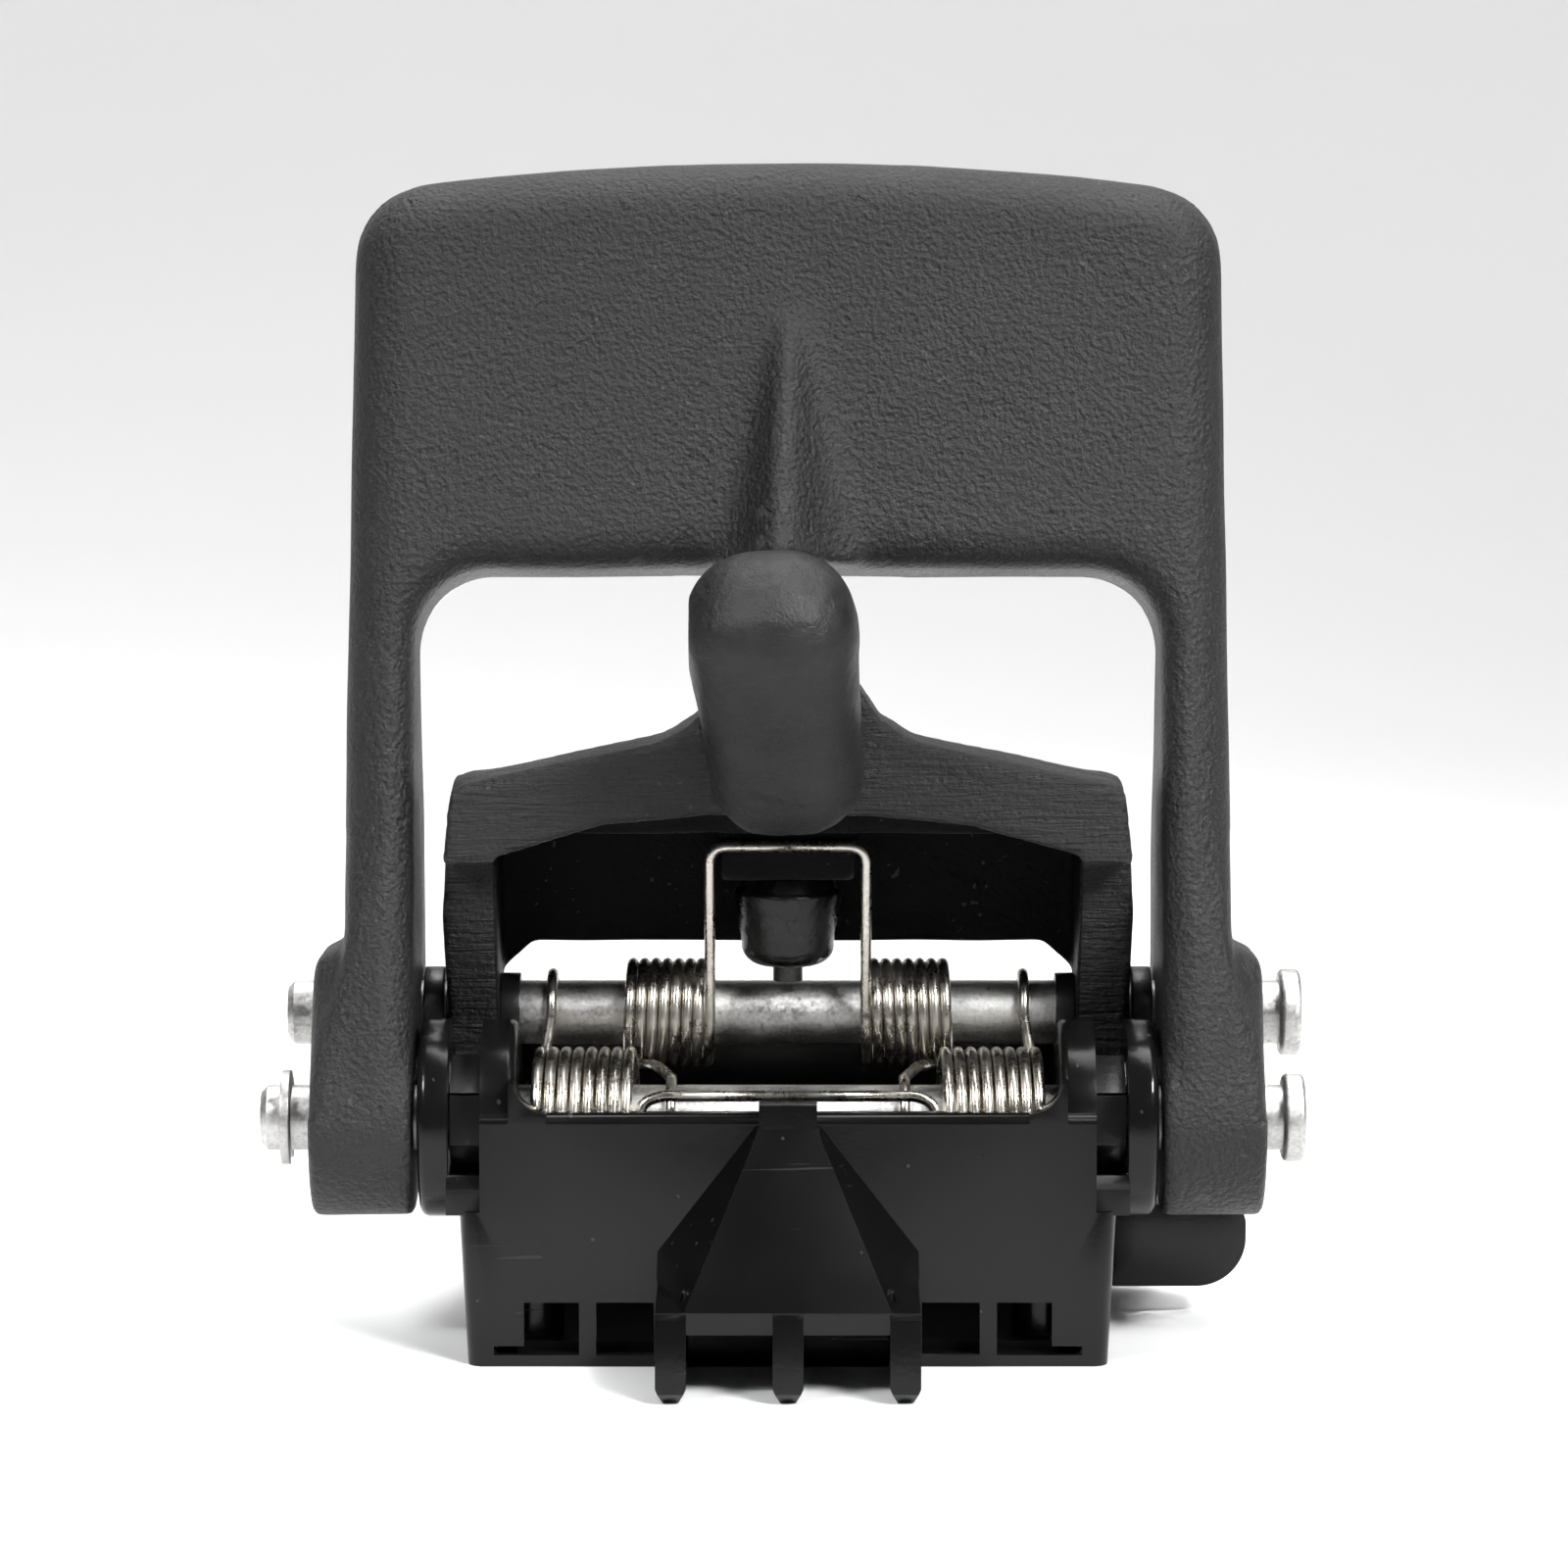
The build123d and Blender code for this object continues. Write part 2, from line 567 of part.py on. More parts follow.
def rubber_bumper():
    """Tapered rubber bumper with a rounded nose, bored for its stud."""
    profile = make_face(Polyline(
        (0, BUMPER_LOW), (2.4, BUMPER_LOW), (3.5, BUMPER_LOW + 0.9), (BUMPER_R, BUMPER_TOP - 2.0),
        (BUMPER_R, BUMPER_TOP), (0, BUMPER_TOP), close=True))
    body = Pos(0, BUMPER_Y, 0) * revolve(Rot(90, 0, 0) * profile, axis=Axis.Z)
    return body - rod_z(0, BUMPER_Y, 20, 40, STUD_R)


def bumper_stud():
    """Stud through the bumper into the yoke's boss."""
    return rod_z(0, BUMPER_Y, STUD_LOW, 38.5, STUD_R)


# ---- springs ------------------------------------------------------------------------------------
def coil(axis, inner, outer, turns, radius):
    """Right-hand stack of close turns."""
    pitch = (outer - inner) / turns
    stack = None
    for i in range(turns):
        x = inner + pitch * (i + 0.5)
        turn = Pos(x, axis[0], axis[1]) * Rot(0, 90, 0) * Torus(radius, pitch / 2 + 0.03)
        stack = turn if stack is None else stack + turn
    return stack


def wire(points, bend):
    """Round wire along straight runs with rounded bends."""
    path = FilletPolyline(*points, radius=bend)
    start = Plane(origin=path @ 0, z_dir=path % 0)
    return sweep(start * Circle(WIRE_R), path=path)


def around(axis, radius, degrees):
    """Point at an angle round an axis: 0 is at the back, 90 on top."""
    angle = math.radians(degrees)
    return axis[0] + radius * math.cos(angle), axis[1] + radius * math.sin(angle)


def lower_spring():
    """Double torsion spring: bar behind the front lip, hooks over the upper pin."""
    inner, outer, turns, radius = LOWER_COIL
    right = coil(LOWER_PIN, inner, outer, turns, radius)
    spring = right + mirror(right, about=Plane.YZ)
    end = inner + WIRE_R
    spring += rod_x(-end, end, LOWER_BAR, WIRE_R)
    leave = around(LOWER_PIN, radius, -14)
    front = around(UPPER_PIN, 3.3, 172)
    top = around(UPPER_PIN, 4.5, 116)
    back = around(UPPER_PIN, 3.3, 52)
    leg = wire([
        (outer - WIRE_R, *leave), (LOWER_HOOK_X, *front), (LOWER_HOOK_X, *top), (LOWER_HOOK_X, *back)], 1.0)
    return spring + leg + mirror(leg, about=Plane.YZ)


def upper_spring():
    """Double torsion spring: bail up in front of the yoke's boss, hooks over the lower pin."""
    inner, outer, turns, radius = UPPER_COIL
    right = coil(UPPER_PIN, inner, outer, turns, radius)
    spring = right + mirror(right, about=Plane.YZ)
    leave = around(UPPER_PIN, radius, BAIL_BEARING)
    x = inner + WIRE_R
    bail = wire([(x, *leave), (x, *BAIL), (-x, *BAIL), (-x, *leave)], BAIL_BEND_R)
    start = around(UPPER_PIN, radius, LEG_BEARING)
    bend_x, bend_reach, bend_bearing = LEG_BEND
    under = around(LOWER_PIN, bend_reach, bend_bearing)
    over, top, front = (around(LOWER_PIN, HOOK_R, bearing) for bearing in HOOK_BEARINGS)
    leg = wire([
        (outer - WIRE_R, *start), (bend_x, *under), (UPPER_HOOK_X, *over),
        (UPPER_HOOK_X, *top), (UPPER_HOOK_X, *front)], LEG_BEND_R)
    return spring + bail + leg + mirror(leg, about=Plane.YZ)


# ---- write the parts ----------------------------------------------------------------------------
PARTS = {
    "base_housing": base_housing(),
    "base_plate": base_plate(),
    "base_plate_screws": base_plate_screws(),
    "trip_lever": trip_lever(),
    "trip_lever_pin": trip_lever_pin(),
    "striker_frame": striker_frame(),
    "lower_pin": lower_pin(),
    "lower_pin_clip": lower_pin_clip(),
    "upper_pin": upper_pin(),
    "cam_hub_left": cam_hub(-1),
    "cam_hub_right": cam_hub(1),
    "washer_left": washer(-1),
    "washer_right": washer(1),
    "trigger_yoke": trigger_yoke(),
    "thumb_grip": thumb_grip(),
    "rubber_bumper": rubber_bumper(),
    "bumper_stud": bumper_stud(),
    "yoke_bush_left": yoke_bush(-1),
    "yoke_bush_right": yoke_bush(1),
    "lower_spring": lower_spring(),
    "upper_spring": upper_spring(),
}

os.makedirs("parts", exist_ok=True)
for name, shape in PARTS.items():
    export_step(shape, f"parts/{name}.step")
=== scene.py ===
"""Looks of the snap trap mechanism: cast frame and yoke, moulded base, grip, springs, pins, light and camera.

Blender's unit is the metre. Values given to mm(), and those whose names end in _mm or _MM, are millimetres.
"""
import json
import math

import bmesh
import bpy
import numpy
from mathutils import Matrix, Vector, noise


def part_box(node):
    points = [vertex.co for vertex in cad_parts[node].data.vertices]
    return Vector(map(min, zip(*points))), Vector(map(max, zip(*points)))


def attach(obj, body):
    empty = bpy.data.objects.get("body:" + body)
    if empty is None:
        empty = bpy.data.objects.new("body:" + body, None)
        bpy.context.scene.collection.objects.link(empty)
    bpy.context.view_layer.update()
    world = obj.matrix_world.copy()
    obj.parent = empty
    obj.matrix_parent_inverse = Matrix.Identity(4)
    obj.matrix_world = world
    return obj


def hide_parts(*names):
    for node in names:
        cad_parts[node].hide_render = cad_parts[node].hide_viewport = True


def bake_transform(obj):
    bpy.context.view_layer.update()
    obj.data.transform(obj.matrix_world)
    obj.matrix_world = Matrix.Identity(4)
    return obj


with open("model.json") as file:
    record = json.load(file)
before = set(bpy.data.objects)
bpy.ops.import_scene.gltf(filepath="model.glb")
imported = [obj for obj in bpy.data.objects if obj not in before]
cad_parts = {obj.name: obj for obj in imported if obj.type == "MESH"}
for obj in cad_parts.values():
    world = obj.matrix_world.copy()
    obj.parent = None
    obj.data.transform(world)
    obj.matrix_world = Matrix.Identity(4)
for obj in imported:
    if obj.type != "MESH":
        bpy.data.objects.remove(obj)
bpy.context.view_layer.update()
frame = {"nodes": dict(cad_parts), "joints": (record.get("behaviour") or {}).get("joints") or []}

JOINTS = {joint["name"]: joint for joint in frame["joints"]}
LOWER = Vector(JOINTS["frame_swing"]["pos_m"])
UPPER = Vector(JOINTS["yoke_swing"]["pos_m"])
MM = 0.001
LEAN = math.radians(14.0)                       # lean of the striker frame
FRAME_FRONT = 7.5 * MM                          # front face of the frame, out from the lower pin's axis
PLATE_HALF = 33.45 * MM
ARM_HALF = 34.0 * MM
CROWN = 73.8 * MM
SHOULDER = 71.3 * MM
CORNER_R = 5.6 * MM
EDGE_R = 4.5 * MM                               # roll of the frame's outer front edge
RIDGE_LOW = 41.9 * MM                           # the ridge runs from the window up to its apex
RIDGE_APEX = 63.2 * MM
RIDGE_RISE = 5.4 * MM
RIDGE_HALF = 7.4 * MM
RIDGE_APEX_WIDTH = 0.20                         # width at the apex, as a share of the width at the window
RIDGE_DRIFT = 0.7 * MM                          # how far left of the middle the ridge's foot stands
RIDGE_LEFT = 0.86                               # width of each flank, as a share of RIDGE_HALF
RIDGE_RIGHT = 1.12
RIDGE_CREST = 0.46                              # width of the rounded crest, as a share of its flank
ROLL_START = 11.0 * MM                          # up the frame, where the edge starts to roll
ROLL_FADE = 12.0 * MM                           # height over which the roll grows to its full size
TAPER_START = 24.0 * MM                         # above this the frame's sides draw in to PLATE_HALF
FLARE_INNER = 31.5 * MM                         # the arms' flares: out from the middle, and from low to high
FLARE_LOW = 1.0 * MM
FLARE_HIGH = 22.0 * MM
RIB_HALF = 9.0 * MM                             # the stretch round the ridge that is evened out
RIB_LOW = 39.0 * MM
HOOD_HALF_MM = 22.6                             # the hollow under the yoke's hood, where shade is painted into the coat
HOOD_FRONT_MM = -2.2
HOOD_BACK_MM = 13.2
HOOD_TOP_MM = 42.0
LIP_BACK_MM = -1.0                              # the hood's front lip, which is not hollow
LIP_LOW_MM = 36.5
BEAM_LOW_MM = 37.0                              # the yoke's flow lines start here
GRIP_R = 5.85 * MM
GRIP_SWELL = 0.6 * MM                           # how much wider the grip is at its tip
GRIP_FLATNESS = 0.93                            # depth of the grip over its width
GRIP_SQUARENESS = 2.35                          # 2 is a circle, more is squarer
WIRE = 0.43 * MM                                # spring wire radius
WIRE_SIDES = 12
WEAR_GREY = (0.075, 0.075, 0.078)
DUST_GREY = (0.09, 0.09, 0.095)
STAIN_BROWN = (0.10, 0.095, 0.085)


# ---- small tools --------------------------------------------------------------------------------
def mm(*values):
    """Millimetres to a vector in metres."""
    return Vector(values) * MM


def new_piece(name, mesh, material, body, nodes=()):
    """A mesh object that rides on a body, takes its finish from a slot and may stand for CAD nodes."""
    piece = bpy.data.objects.new(name, mesh)
    bpy.context.scene.collection.objects.link(piece)
    mesh.materials.clear()
    mesh.materials.append(material)
    if body:
        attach(piece, body)
    if nodes:
        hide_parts(*nodes)
    return piece


def node_mesh(node):
    """A loose copy of a CAD node's mesh, welded."""
    mesh = frame["nodes"][node].data.copy()
    build = bmesh.new()
    build.from_mesh(mesh)
    bmesh.ops.remove_doubles(build, verts=build.verts, dist=0.002 * MM)
    build.to_mesh(mesh)
    build.free()
    return mesh


def baked(mesh, *modifiers):
    """The mesh after a row of modifiers, each given as (type, settings)."""
    holder = bpy.data.objects.new("holder", mesh)
    bpy.context.scene.collection.objects.link(holder)
    for kind, settings in modifiers:
        modifier = holder.modifiers.new(kind.lower(), kind)
        for key, value in settings.items():
            setattr(modifier, key, value)
    graph = bpy.context.evaluated_depsgraph_get()
    result = bpy.data.meshes.new_from_object(holder.evaluated_get(graph))
    bpy.data.objects.remove(holder)
    return result


def shade(mesh):
    """Smooth shading all over."""
    mesh.polygons.foreach_set("use_smooth", [True] * len(mesh.polygons))
    mesh.update()


def ease(value):
    """Smooth step from 0 to 1."""
    value = min(1.0, max(0.0, value))
    return value * value * (3 - 2 * value)


def skinned(build, rings):
    """Quads between neighbouring rings of vertices."""
    for a, b in zip(rings, rings[1:]):
        for j in range(len(a)):
            k = (j + 1) % len(a)
            build.faces.new((a[j], a[k], b[k], b[j]))


def written(build, name):
    """A new mesh from a finished build."""
    mesh = bpy.data.meshes.new(name)
    build.to_mesh(mesh)
    build.free()
    return mesh


# ---- materials ----------------------------------------------------------------------------------
class Nodes:
    """Short hand for building a node material."""

    def __init__(self, name):
        self.material = bpy.data.materials.new(name)
        self.material.use_nodes = True
        self.tree = self.material.node_tree
        self.shader = self.tree.nodes["Principled BSDF"]
        self.place = self.add("ShaderNodeTexCoord").outputs["Object"]

    def add(self, kind, **settings):
        """A new node with its settings."""
        node = self.tree.nodes.new(kind)
        for key, value in settings.items():
            setattr(node, key, value)
        return node

    def link(self, source, target):
        """Joins an output to an input."""
        self.tree.links.new(source, target)

    def stretched(self, scale, turn=(0, 0, 0)):
        """Object coordinates scaled per axis."""
        mapping = self.add("ShaderNodeMapping")
        mapping.inputs["Scale"].default_value = scale
        mapping.inputs["Rotation"].default_value = turn
        self.link(self.place, mapping.inputs["Vector"])
        return mapping.outputs["Vector"]

    def noise(self, size_mm, detail=2.0, roughness=0.5, vector=None, distortion=0.0):
        """Noise whose features are about size_mm across."""
        node = self.add("ShaderNodeTexNoise")
        node.inputs["Scale"].default_value = 1.0 / (size_mm * MM)
        node.inputs["Detail"].default_value = detail
        node.inputs["Roughness"].default_value = roughness
        node.inputs["Distortion"].default_value = distortion
        self.link(vector or self.place, node.inputs["Vector"])
        return node.outputs["Fac"]

    def cells(self, size_mm):
        """Softened Voronoi distance with cells about size_mm across."""
        node = self.add("ShaderNodeTexVoronoi", feature="SMOOTH_F1")
        node.inputs["Scale"].default_value = 1.0 / (size_mm * MM)
        self.link(self.place, node.inputs["Vector"])
        return node.outputs["Distance"]

    def ramp(self, factor, stops):
        """Colour ramp from (position, grey or rgb) stops."""
        node = self.add("ShaderNodeValToRGB")
        elements = node.color_ramp.elements
        while len(elements) < len(stops):
            elements.new(0.5)
        for element, (position, value) in zip(elements, stops):
            element.position = position
            rgb = (value,) * 3 if isinstance(value, (int, float)) else value
            element.color = (*rgb, 1.0)
        self.link(factor, node.inputs["Fac"])
        return node.outputs["Color"]

    def between(self, factor, low, high, start=0.3, end=0.7):
        """A number that runs from low to high as the factor runs from start to end."""
        node = self.add("ShaderNodeMapRange")
        node.inputs["From Min"].default_value = start
        node.inputs["From Max"].default_value = end
        node.inputs["To Min"].default_value = low
        node.inputs["To Max"].default_value = high
        self.link(factor, node.inputs["Value"])
        return node.outputs["Result"]

    def maths(self, operation, first, second):
        """A math node on two values, each a number or a socket."""
        node = self.add("ShaderNodeMath", operation=operation)
        for socket, value in zip(node.inputs, (first, second)):
            if isinstance(value, (int, float)):
                socket.default_value = value
            else:
                self.link(value, socket)
        return node.outputs["Value"]

    def bump(self, *layers):
        """Stacks (height, depth in mm, strength) layers into one normal."""
        normal = None
        for height, depth_mm, strength in layers:
            node = self.add("ShaderNodeBump")
            node.inputs["Distance"].default_value = depth_mm * MM
            node.inputs["Strength"].default_value = strength
            self.link(height, node.inputs["Height"])
            if normal is not None:
                self.link(normal, node.inputs["Normal"])
            normal = node.outputs["Normal"]
        self.link(normal, self.shader.inputs["Normal"])

    def tinted(self, base, colour, factor):
        """The base colour turned towards a fixed one by a factor."""
        mix = self.add("ShaderNodeMixRGB")
        mix.inputs["Color2"].default_value = (*colour, 1)
        self.link(base, mix.inputs["Color1"])
        self.link(factor, mix.inputs["Fac"])
        return mix.outputs["Color"]

    def finish(self, color, roughness, metallic=0.0, specular=0.5):
        """The material, with its colour and roughness linked."""
        self.shader.inputs["Metallic"].default_value = metallic
        self.shader.inputs["Specular IOR Level"].default_value = specular
        self.link(color, self.shader.inputs["Base Color"])
        self.link(roughness, self.shader.inputs["Roughness"])
        return self.material


def edge_wear(nodes, width):
    """Brighter where the surface turns a convex corner."""
    geometry = nodes.add("ShaderNodeNewGeometry")
    return nodes.between(geometry.outputs["Pointiness"], 0.0, 1.0, 0.5 + width * 0.4, 0.5 + width)


def powder_coat(name, grain_mm=0.22, depth=0.10, striated=False, specular=0.36):
    """Black powder coat on a rough casting: orange-peel grain, pits, dust specks, dull and bright patches."""
    n = Nodes(name)
    grain = n.noise(grain_mm, 3.0, 0.6)
    peel = n.cells(grain_mm * 1.9)
    broad = n.noise(7.0, 3.0)
    pits = n.between(n.noise(1.3, 1.0), 0.0, 1.0, 0.27, 0.33)
    specks = n.between(n.noise(0.55, 0.0), 0.0, 1.0, 0.80, 0.84)
    tone = n.ramp(n.maths("MULTIPLY_ADD", broad, 0.5), [(0.0, 0.004), (0.6, 0.007), (1.0, 0.011)])
    wear = n.maths("MULTIPLY", n.maths("ADD", specks, edge_wear(n, 0.08)), 0.35)
    rough = n.between(n.maths("ADD", grain, n.maths("MULTIPLY", broad, 0.6)), 0.36, 0.56, 0.55, 1.05)
    layers = [(broad, 0.25, 0.25), (peel, depth * 1.6, 1.0), (grain, depth * 1.5, 1.0), (pits, 0.08, 0.8)]
    if striated:
        flow = n.noise(0.7, 4.0, 0.65, n.stretched((0.13, 1.0, 1.9), (0, 0.10, 0)), 0.35)
        layers.append((flow, 0.55, 1.0))
    n.bump(*layers)
    return n.finish(n.tinted(tone, WEAR_GREY, wear), rough, specular=specular)


def moulded(name, base=0.0035, rough=(0.17, 0.26), texture=0.012, specular=0.24):
    """Semi-gloss moulded black plastic with faint flow marks, hairline scratches and dust."""
    n = Nodes(name)
    broad = n.noise(11.0, 3.0)
    fine = n.noise(0.35, 2.0)
    hair = n.noise(1.0, 2.0, 0.5, n.stretched((0.06, 0.6, 1.4), (0.4, 0.7, 0.2)), 0.6)
    scratch = n.between(hair, 0.0, 1.0, 0.715, 0.74)
    dust = n.between(n.noise(0.8, 0.0), 0.0, 1.0, 0.83, 0.86)
    tone = n.ramp(broad, [(0.25, base * 0.8), (0.75, base * 1.25)])
    marks = n.maths("ADD", dust, n.maths("MULTIPLY", scratch, 0.4))
    dullness = n.maths("ADD", broad, n.maths("MULTIPLY", scratch, 0.3))
    smooth = n.between(dullness, rough[0], rough[1], 0.35, 0.85)
    n.bump((broad, 0.30, 0.22), (fine, texture, 0.6), (scratch, 0.012, 0.35))
    return n.finish(n.tinted(tone, DUST_GREY, n.maths("MULTIPLY", marks, 0.3)), smooth, specular=specular)


def leathery(name):
    """Glossier black skin of the thumb grip, with soft creases."""
    n = Nodes(name)
    crease = n.cells(0.9)
    fine = n.noise(0.24, 3.0, 0.6)
    broad = n.noise(4.0, 2.0)
    tone = n.ramp(broad, [(0.3, 0.008), (0.75, 0.016)])
    rough = n.between(n.maths("ADD", broad, fine), 0.36, 0.52, 0.75, 1.25)
    n.bump((broad, 0.55, 0.4), (crease, 0.12, 0.9), (fine, 0.09, 1.0))
    return n.finish(tone, rough, specular=0.30)


def rubber(name):
    """Glossy black rubber with a mottled skin."""
    n = Nodes(name)
    broad = n.noise(1.6, 3.0)
    fine = n.noise(0.5, 2.0)
    tone = n.ramp(broad, [(0.3, 0.004), (0.8, 0.010)])
    rough = n.between(broad, 0.16, 0.34)
    n.bump((broad, 0.25, 0.5), (fine, 0.03, 0.6))
    return n.finish(tone, rough, specular=0.25)


def zinc(name, dull=0.0):
    """Dull zinc plate on a turned steel pin: crystalline grain, stains and faint turning lines."""
    n = Nodes(name)
    crystal = n.noise(0.32, 3.0, 0.65)
    stain = n.noise(3.2, 4.0, 0.6)
    lines = n.noise(1.0, 2.0, 0.5, n.stretched((3.5, 0.25, 0.25)))
    marks = n.between(n.noise(0.9, 1.0), 0.0, 1.0, 0.70, 0.78)
    blotch = n.maths("ADD", n.maths("MULTIPLY", stain, 0.55), n.maths("MULTIPLY", crystal, 0.45))
    greys = ((0.34, 0.34), (0.50, 0.62), (0.66, 0.80))
    tone = n.ramp(blotch, [(place, (grey * (1 - dull), grey * (1 - dull) * 0.99, grey * (1 - dull) * 0.97))
                           for place, grey in greys])
    rough = n.between(n.maths("ADD", crystal, stain), 0.34, 0.54, 0.75, 1.25)
    n.bump((crystal, 0.030, 0.8), (lines, 0.012, 0.5), (stain, 0.05, 0.3))
    return n.finish(n.tinted(tone, STAIN_BROWN, n.maths("MULTIPLY", marks, 0.55)), rough, metallic=1.0)


def bright_wire(name):
    """Drawn spring wire: bright, faintly brown, with draw lines and dark stains."""
    n = Nodes(name)
    stain = n.noise(2.2, 4.0, 0.65)
    fine = n.noise(0.25, 2.0)
    tone = n.ramp(stain, [(0.25, (0.30, 0.27, 0.23)), (0.5, (0.55, 0.52, 0.47)), (0.8, (0.70, 0.67, 0.62))])
    rough = n.between(n.maths("ADD", stain, n.maths("MULTIPLY", fine, 0.5)), 0.20, 0.38, 0.5, 1.0)
    n.bump((fine, 0.008, 0.6), (stain, 0.03, 0.3))
    return n.finish(tone, rough, metallic=1.0)


CAST = powder_coat("cast_black")
CAST_YOKE = powder_coat("cast_black_flow", 0.22, 0.09, striated=True)
# painted shade: the same coat with almost no specular, darkening the hollow under the yoke's hood where shade
# falls
CAST_PAINTED_SHADE = powder_coat("cast_black_painted_shade", 0.24, 0.05, specular=0.02)
PLASTIC = moulded("base_plastic")
# painted shade: the base plate is darker and almost mirror-free, standing in for the shade it lies in
PLATE_PLASTIC_PAINTED_SHADE = moulded("plate_plastic_painted_shade", 0.002, (0.5, 0.6), specular=0.05)
# painted light: a lighter, glossier copy of the base plastic, so that the hubs, spacers and bushes look lit
# although the clevis ears shade them
HUB_PLASTIC_PAINTED_LIGHT = moulded("hub_plastic", 0.008, (0.26, 0.40), 0.03, 0.6)
GRIP = leathery("grip_black")
RUBBER = rubber("bumper_rubber")
ZINC = zinc("pin_zinc")
STEEL = zinc("plain_steel", 0.2)
DARK_STEEL = zinc("dark_steel", 0.88)
SPRING = bright_wire("spring_wire")


# ---- castings -----------------------------------------------------------------------------------
def to_frame(point):
    """(across, up the frame, out of its front) of a point, measured from the lower pin."""
    y = point.y - LOWER.y
    z = point.z - LOWER.z
    up = y * math.sin(LEAN) + z * math.cos(LEAN)
    out = -y * math.cos(LEAN) + z * math.sin(LEAN)
    return Vector((point.x, up, out))


def from_frame(local):
    """The way back from to_frame."""
    y = local.y * math.sin(LEAN) - local.z * math.cos(LEAN)
    z = local.y * math.cos(LEAN) + local.z * math.sin(LEAN)
    return Vector((local.x, LOWER.y + y, LOWER.z + z))


def ridge_height(across, up):
    """Height of the tapering rib on the plate: rounded crest, hollow flanks, soft apex."""
    reach = (RIDGE_APEX - up) / (RIDGE_APEX - RIDGE_LOW)
    if reach <= 0:
        return 0.0
    reach = min(reach, 1.0)
    half = RIDGE_HALF * (RIDGE_APEX_WIDTH + (1 - RIDGE_APEX_WIDTH) * reach)
    off = across + RIDGE_DRIFT * reach
    side = abs(off) / (half * (RIDGE_LEFT if off < 0 else RIDGE_RIGHT))
    flank = max(0.0, 1.0 - side)
    profile = math.exp(-(side / RIDGE_CREST) ** 2) * ease(flank * 2.5)
    return RIDGE_RISE * reach ** 0.9 * profile * ease(reach * 5.0)


def rolled_edge(local):
    """How far out the frame's front may stand at a place, so that its outer edge is a broad roll."""
    share = min(1.0, max(0.0, (local.y - TAPER_START) / (SHOULDER - TAPER_START)))
    side = ARM_HALF + (PLATE_HALF - ARM_HALF) * share - abs(local.x)
    top = CROWN - (CROWN - SHOULDER) * (local.x / PLATE_HALF) ** 2 - local.y
    inset = min(side, top)
    if side < CORNER_R and top < CORNER_R:
        inset = CORNER_R - math.hypot(CORNER_R - side, CORNER_R - top)
    inset = max(inset, 0.0)
    if inset >= EDGE_R:
        return FRAME_FRONT
    full = FRAME_FRONT - EDGE_R + math.sqrt(EDGE_R ** 2 - (EDGE_R - inset) ** 2)
    return full + (FRAME_FRONT - full) * (1.0 - ease((local.y - ROLL_START) / ROLL_FADE))


def relaxed(mesh, chosen, rounds):
    """Evens out the chosen vertices; chosen(points) gives a weight for each."""
    count = len(mesh.vertices)
    points = numpy.empty(count * 3)
    mesh.vertices.foreach_get("co", points)
    points = points.reshape(-1, 3)
    edges = numpy.empty(len(mesh.edges) * 2, dtype=int)
    mesh.edges.foreach_get("vertices", edges)
    first, second = edges.reshape(-1, 2).T
    links = numpy.bincount(edges, minlength=count)[:, None]
    weight = chosen(points)[:, None] * 0.5
    for _ in range(rounds):
        total = numpy.zeros_like(points)
        for axis in range(3):
            total[:, axis] += numpy.bincount(first, points[second, axis], count)
            total[:, axis] += numpy.bincount(second, points[first, axis], count)
        points = points + weight * (total / links - points)
    mesh.vertices.foreach_set("co", points.ravel())
    mesh.update()


def cast_mesh(mesh, voxel_mm, rounds):
    """Softens a CAD mesh into a casting: even skin, rounded edges."""
    return baked(
        mesh,
        ("REMESH", {"mode": "VOXEL", "voxel_size": voxel_mm * MM, "use_smooth_shade": True}),
        ("SMOOTH", {"factor": 0.5, "iterations": rounds}),
    )


def kept_inside(mesh, node):
    """Holds every vertex inside the CAD node's own box."""
    low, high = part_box(node)
    for vertex in mesh.vertices:
        for axis in range(3):
            vertex.co[axis] = min(max(vertex.co[axis], low[axis]), high[axis])


def swollen(mesh, amount):
    """Moves every vertex along its normal by amount(point), in metres."""
    normals = [vertex.normal.copy() for vertex in mesh.vertices]
    for vertex, normal in zip(mesh.vertices, normals):
        vertex.co += normal * amount(vertex.co)


def striker_frame():
    """The cast frame: outer edge rolled, ridge drawn out of the plate, flares eased, all as one skin."""
    mesh = baked(node_mesh("striker_frame"), ("REMESH", {"mode": "VOXEL", "voxel_size": 0.40 * MM}))
    for vertex in mesh.vertices:
        local = to_frame(vertex.co)
        if local.z < FRAME_FRONT - EDGE_R or local.y < ROLL_START:
            continue
        local.z = min(local.z, rolled_edge(local))
        near_ridge = abs(local.x) < RIDGE_HALF * 1.2 and local.y > RIDGE_LOW - 0.5 * MM
        if near_ridge and local.z > FRAME_FRONT - 1.0 * MM:
            local.z = min(local.z, FRAME_FRONT) + ridge_height(local.x, local.y)
        vertex.co = from_frame(local)
    mesh = cast_mesh(mesh, 0.42, 4)

    def flares(points):
        low = (points[:, 2] > LOWER.z + FLARE_LOW) & (points[:, 2] < LOWER.z + FLARE_HIGH)
        return ((numpy.abs(points[:, 0]) > FLARE_INNER) & low).astype(float)

    def rib(points):
        near = (numpy.abs(points[:, 0]) < RIB_HALF) & (points[:, 2] > LOWER.z + RIB_LOW)
        return near.astype(float)

    relaxed(mesh, flares, 26)
    relaxed(mesh, rib, 8)
    swollen(mesh, lambda point: noise.noise(point / (9 * MM)) * 0.10 * MM)
    kept_inside(mesh, "striker_frame")
    shade(mesh)
    new_piece("frame_casting", mesh, CAST, "frame", ["striker_frame"])


